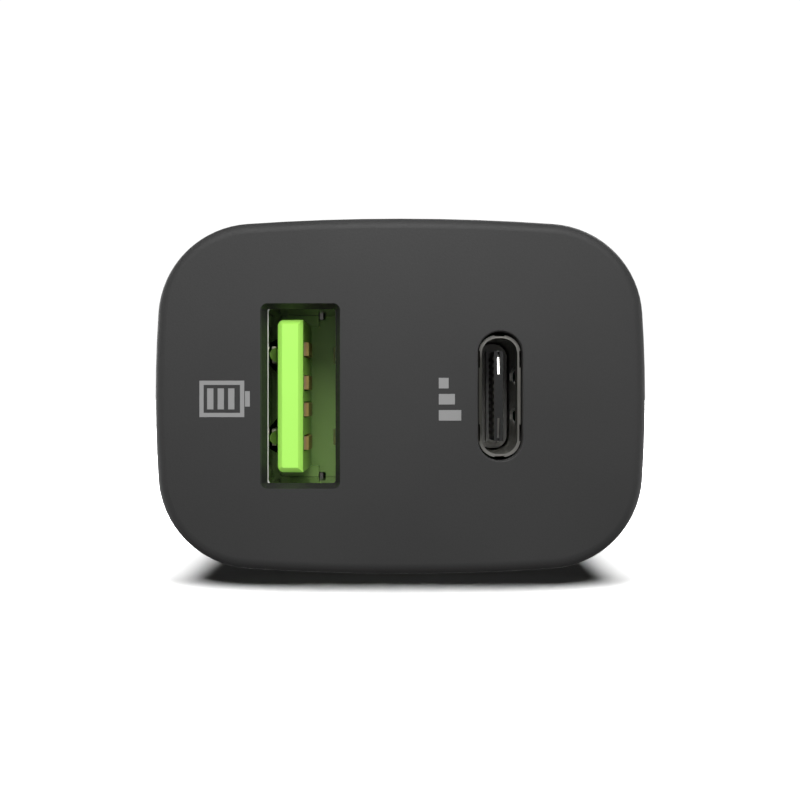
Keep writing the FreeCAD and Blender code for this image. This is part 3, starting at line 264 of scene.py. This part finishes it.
def nose_gold():
    """The type A contacts: pinkish gold at the sloping nose, with painted shade on the crest."""
    shader = plated_metal("nose_gold", (0.95, 0.68, 0.25), 0.5, "Y", metallic=0.5)
    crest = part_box("usb_a_contacts")[1].x
    nose = shader.along("X", crest - 0.16 * MM, crest - 0.32 * MM)
    shader.change(nose, (0.90, 0.56, 0.36))
    # Painted shade: the crest, which faces away from the light, is coloured dark.
    top = shader.along("X", crest - 0.08 * MM, crest - 0.02 * MM)
    shader.change(top, (0.30, 0.24, 0.06))
    return shader


# From a little behind its tongue's tip to its base, painted shade darkens the type A moulding and
# painted light brightens the type C moulding.
tongue_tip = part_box("usb_a_insulator")[0].y
TONGUE_BEHIND = tongue_tip + 2.0 * MM
TONGUE_BASE = tongue_tip + 8.0 * MM


def lime_plastic():
    """Bright lime at the tongue's tip, with a painted glow, and painted shade that turns it dull
    green at the base.
    """
    shader = moulded_plastic("lime_tongue", (0.46, 0.96, 0.14), 0.42, 0.12 * MM, 0.002 * MM)
    # Painted shade: darker green towards the base, deep in the port.
    shader.change(shader.along("Y", TONGUE_BEHIND, TONGUE_BASE), (0.235, 0.385, 0.12))
    # Painted light: the tip of the tongue glows, though it is no lamp.
    shader.glow(shader.along("Y", tongue_tip + 0.45 * MM, tongue_tip), (0.46, 0.96, 0.15), 0.33)
    return shader


def smoky_plastic():
    """Black at the tongue, and grey with painted light at the base, where painted shade darkens it
    from left to right.
    """
    shader = moulded_plastic("smoky_insulator", (0.018, 0.018, 0.018), 0.45, 0.1 * MM, 0.002 * MM)
    rim_low, rim_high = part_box("usb_c_shell")
    # Painted light: the base deep in the port is coloured grey, standing in for light that reaches
    # it.
    base = shader.along("Y", TONGUE_BEHIND, TONGUE_BASE)
    shader.change(base, (0.62, 0.62, 0.59))
    # Painted shade: the base darkens towards the right wall.
    right = shader.along("X", rim_low.x, rim_high.x)
    shader.change(shader.product(base, right), (0.20, 0.20, 0.19))
    return shader


# ---------------------------------------------------------------- a material for each node

charcoal = casing_plastic("charcoal_casing", 0.050)
cover = casing_plastic("charcoal_cover", 0.046)
ink = moulded_plastic("pad_print", (0.41, 0.41, 0.41), 0.55, 0.08 * MM, 0.002 * MM)
carrier = moulded_plastic("black_carrier", (0.018, 0.018, 0.018), 0.38, 0.2 * MM, 0.004 * MM)
blade = plated_metal("nickel_blade", (0.54, 0.53, 0.50), 0.45, "Y", metallic=0.4)
steel = shell_steel()
finger_steel = plated_metal("finger_steel", (0.86, 0.84, 0.66), 0.42, "Y")
rim = rim_steel()
plate_steel = plated_metal("plate_steel", (0.62, 0.61, 0.57), 0.3, "Y")
gold = plated_metal("contact_gold", (0.90, 0.62, 0.40), 0.42, "Y")
nose = nose_gold()
dark_gold = plated_metal("dull_contacts", (0.10, 0.095, 0.085), 0.5, "Y")
zinc = plated_metal("zinc_screw", (0.6, 0.6, 0.62), 0.32, "X")
bronze = plated_metal("spring_bronze", (0.70, 0.42, 0.22), 0.3, "X")
lime = lime_plastic()
black = moulded_plastic("black_insulator", (0.02, 0.02, 0.02), 0.45, 0.1 * MM, 0.002 * MM)
smoky = smoky_plastic()
board = moulded_plastic("board_mask", (0.015, 0.12, 0.05), 0.3, 0.5 * MM, 0.004 * MM)
ferrite = moulded_plastic("ferrite", (0.035, 0.035, 0.038), 0.55, 0.1 * MM, 0.01 * MM)
copper = plated_metal("enamelled_copper", (0.62, 0.22, 0.09), 0.3, "X")
tape = moulded_plastic("yellow_tape", (0.80, 0.50, 0.03), 0.3, 1.5 * MM, 0.01 * MM)
sleeve = moulded_plastic("capacitor_sleeve", (0.012, 0.03, 0.10), 0.25, 1.0 * MM, 0.004 * MM)
aluminium = plated_metal("plain_aluminium", (0.78, 0.78, 0.78), 0.32, "X")
pale = moulded_plastic("pale_ceramic", (0.62, 0.58, 0.46), 0.4, 0.4 * MM, 0.004 * MM)
blue = moulded_plastic("dipped_blue", (0.02, 0.12, 0.42), 0.35, 0.6 * MM, 0.01 * MM)
grey_pad = moulded_plastic("silicone_pad", (0.3, 0.34, 0.38), 0.7, 0.3 * MM, 0.01 * MM)
film = moulded_plastic("polyester_film", (0.6, 0.57, 0.48), 0.2, 1.0 * MM, 0.003 * MM)
red_lead = moulded_plastic("red_lead", (0.36, 0.02, 0.015), 0.4, 0.4 * MM, 0.004 * MM)
black_lead = moulded_plastic("black_lead", (0.015, 0.015, 0.015), 0.4, 0.4 * MM, 0.004 * MM)

FINISHES = {
    "front_housing": charcoal,
    "rear_cover": cover,
    "port_marks": ink,
    "blade_carrier": carrier,
    "upper_blade": blade,
    "lower_blade": blade,
    "pivot_retainer": black,
    "retainer_screws": zinc,
    "upper_contact_spring": bronze,
    "lower_contact_spring": bronze,
    "upper_lead": red_lead,
    "lower_lead": black_lead,
    "usb_a_shell": steel,
    "usb_a_left_springs": finger_steel,
    "usb_a_right_springs": finger_steel,
    "usb_a_insulator": lime,
    "usb_a_contacts": nose,
    "usb_a_tails": gold,
    "usb_c_shell": rim,
    "usb_c_insulator": smoky,
    "usb_c_mid_plate": plate_steel,
    "usb_c_contacts": dark_gold,
    "port_board": board,
    "main_board": board,
    "board_link_pins": gold,
    "transformer_core": ferrite,
    "transformer_bobbin": black,
    "transformer_winding": copper,
    "transformer_tape": tape,
    "bulk_capacitors": sleeve,
    "output_capacitors": aluminium,
    "input_fuse": pale,
    "input_choke": ferrite,
    "bridge_rectifier": black,
    "optocoupler": pale,
    "y_capacitor": blue,
    "output_inductor": ferrite,
    "controller_chip": black,
    "sync_rectifier_chip": black,
    "protocol_chips": black,
    "chip_resistors": ferrite,
    "heat_spreader": aluminium,
    "thermal_pad": grey_pad,
    "insulation_sheet": film,
}
for node_name, finish in FINISHES.items():
    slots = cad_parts[node_name].data.materials
    slots.clear()
    slots.append(finish.material)


# ---------------------------------------------------------------- floor, light and camera

# What is seen round the charger: white to the camera, and to its own reflections a dim room
# with a white band that runs level round the sides and the back.
WHITE = 1.05
DIM_ROOM = 0.16
BAND_FRONT, BAND_BACK = -0.75, 0.10
BAND_MIDDLE, BAND_LEVEL, BAND_END = -0.14, 0.12, 0.38
BAND_WHITE = 2.8

# The floor: a grey sheet that its own lights bring up to white.
FLOOR_HALF = 3.0
FLOOR_GREY = 0.3
FLOOR_GLOW = 0.006

# The camera: a normal lens on a full-frame sensor, close to the port face.
SENSOR_WIDTH = 36.0
LENS_LENGTH = 46.62
LENS_SHIFT = (-0.0004, -0.0049)
CAMERA_DISTANCE = 74 * MM


def make_world():
    world = bpy.data.worlds.new("studio")
    bpy.context.scene.world = world
    world.cycles_visibility.diffuse = False
    world.use_nodes = True
    tree = world.node_tree
    tree.nodes.clear()
    output = tree.nodes.new("ShaderNodeOutputWorld")
    mix = tree.nodes.new("ShaderNodeMixShader")
    backdrop = tree.nodes.new("ShaderNodeBackground")
    backdrop.inputs["Color"].default_value = (1.0, 1.0, 1.0, 1.0)
    backdrop.inputs["Strength"].default_value = WHITE
    room = tree.nodes.new("ShaderNodeBackground")
    path = tree.nodes.new("ShaderNodeLightPath")
    direction = tree.nodes.new("ShaderNodeTexCoord")
    split = tree.nodes.new("ShaderNodeSeparateXYZ")
    tree.links.new(direction.outputs["Generated"], split.inputs["Vector"])
    behind = map_range(tree, split.outputs["Y"], BAND_FRONT, BAND_BACK, 0.0, 1.0, smooth=True)
    height = calculate(tree, "SUBTRACT", split.outputs["Z"], BAND_MIDDLE)
    height = calculate(tree, "ABSOLUTE", height)
    level = map_range(tree, height, BAND_LEVEL, BAND_END, 1.0, 0.0, smooth=True)
    band = calculate(tree, "MULTIPLY", behind, level)
    strength = map_range(tree, band, 0.0, 1.0, DIM_ROOM, BAND_WHITE, smooth=True)
    tree.links.new(strength, room.inputs["Strength"])
    tree.links.new(path.outputs["Is Camera Ray"], mix.inputs["Fac"])
    tree.links.new(room.outputs["Background"], mix.inputs[1])
    tree.links.new(backdrop.outputs["Background"], mix.inputs[2])
    tree.links.new(mix.outputs["Shader"], output.inputs["Surface"])


def make_floor():
    """The sheet under the charger, which throws no light back on it."""
    signs = [(-1, -1), (1, -1), (1, 1), (-1, 1)]
    corners = [(x * FLOOR_HALF, y * FLOOR_HALF, low.z) for x, y in signs]
    mesh = bpy.data.meshes.new("studio_floor")
    mesh.from_pydata(corners, [], [(0, 1, 2, 3)])
    floor = bpy.data.objects.new("studio_floor", mesh)
    bpy.context.scene.collection.objects.link(floor)
    floor.visible_diffuse = False
    floor.visible_glossy = False
    floor.visible_shadow = False
    material = bpy.data.materials.new("studio_white")
    material.use_nodes = True
    surface = material.node_tree.nodes["Principled BSDF"]
    surface.inputs["Base Color"].default_value = (FLOOR_GREY, FLOOR_GREY, FLOOR_GREY, 1.0)
    surface.inputs["Specular IOR Level"].default_value = 0.0
    surface.inputs["Roughness"].default_value = 1.0
    surface.inputs["Emission Color"].default_value = (1.0, 1.0, 1.0, 1.0)
    surface.inputs["Emission Strength"].default_value = FLOOR_GLOW
    mesh.materials.append(material)
    return floor


def make_lit_group(name, floor, state):
    """What a light shines on: the floor alone, or everything but the floor."""
    group = bpy.data.collections.new(name)
    group.objects.link(floor)
    group.collection_objects[0].light_linking.link_state = state
    return group


def place_light(light, lit_group, place, target):
    lamp = bpy.data.objects.new(light.name, light)
    lamp.location = place
    lamp.rotation_euler = (Vector(target) - Vector(place)).to_track_quat("-Z", "Y").to_euler()
    lamp.visible_camera = False
    lamp.light_linking.receiver_collection = lit_group
    bpy.context.scene.collection.objects.link(lamp)
    return lamp


def make_softbox(name, lit_group, target, place, size, watts, shiny=True):
    """A rectangular light, width by height; a shiny one also shows in reflections."""
    light = bpy.data.lights.new(name, "AREA")
    light.shape = "RECTANGLE"
    light.size, light.size_y = size
    light.energy = watts
    lamp = place_light(light, lit_group, place, target)
    lamp.visible_glossy = shiny


def make_floor_sun(name, lit_group, sideways, backward, breadth, strength):
    """A broad, even light on the floor that leans out from straight overhead, in degrees."""
    light = bpy.data.lights.new(name, "SUN")
    light.angle = math.radians(breadth)
    light.energy = strength
    place = (math.tan(math.radians(sideways)), math.tan(math.radians(backward)), 1.0)
    place_light(light, lit_group, place, (0.0, 0.0, 0.0))


def light_the_charger(group):
    """Three softboxes for the port face, and three for the top and the back."""
    face = front_low.y
    front = (0.0, face, 0.0)
    middle = (0.0, (low.y + high.y) / 2, 0.0)
    make_softbox(
        "key_softbox", group, front, place=(0, face - 0.102, 0.084), size=(0.12, 0.06), watts=0.157
    )
    make_softbox(
        "fill_softbox", group, front,
        place=(0, face - 0.35, 0.0), size=(0.2, 0.2), watts=0.14, shiny=False,
    )
    make_softbox(
        "bounce_softbox", group, front,
        place=(0, face - 0.01, -0.12), size=(0.24, 0.06), watts=0.012,
    )
    make_softbox("top_softbox", group, middle, place=(0, 0, 0.26), size=(0.25, 0.10), watts=0.03)
    make_softbox(
        "back_softbox", group, middle, place=(0.12, 0.16, 0.14), size=(0.16, 0.16), watts=0.45
    )
    make_softbox("back_fill", group, middle, place=(-0.16, 0.13, 0.04), size=(0.2, 0.2), watts=0.3)


def light_the_floor(group):
    """Two wide lights soften the shadow at the sides, one behind softens it at the front."""
    for name, sideways in (("left_sun", -25.0), ("right_sun", 25.0)):
        make_floor_sun(name, group, sideways, backward=28.0, breadth=28.0, strength=13.0)
    make_floor_sun("rear_sun", group, 0.0, backward=16.4, breadth=19.0, strength=24.5)


def make_camera():
    """Straight on to the port face, at the height of its middle."""
    data = bpy.data.cameras.new("camera")
    data.sensor_width = SENSOR_WIDTH
    data.lens = LENS_LENGTH
    data.shift_x, data.shift_y = LENS_SHIFT
    data.clip_start = 1 * MM
    camera = bpy.data.objects.new("camera", data)
    middle_z = (front_low.z + front_high.z) / 2
    camera.location = (0.0, front_low.y - CAMERA_DISTANCE, middle_z)
    camera.rotation_euler = (math.pi / 2, 0.0, 0.0)
    bpy.context.scene.collection.objects.link(camera)
    bpy.context.scene.camera = camera


make_world()
floor = make_floor()
light_the_charger(make_lit_group("all_but_floor", floor, "EXCLUDE"))
light_the_floor(make_lit_group("floor_only", floor, "INCLUDE"))
make_camera()
bpy.context.scene.view_settings.view_transform = "Standard"
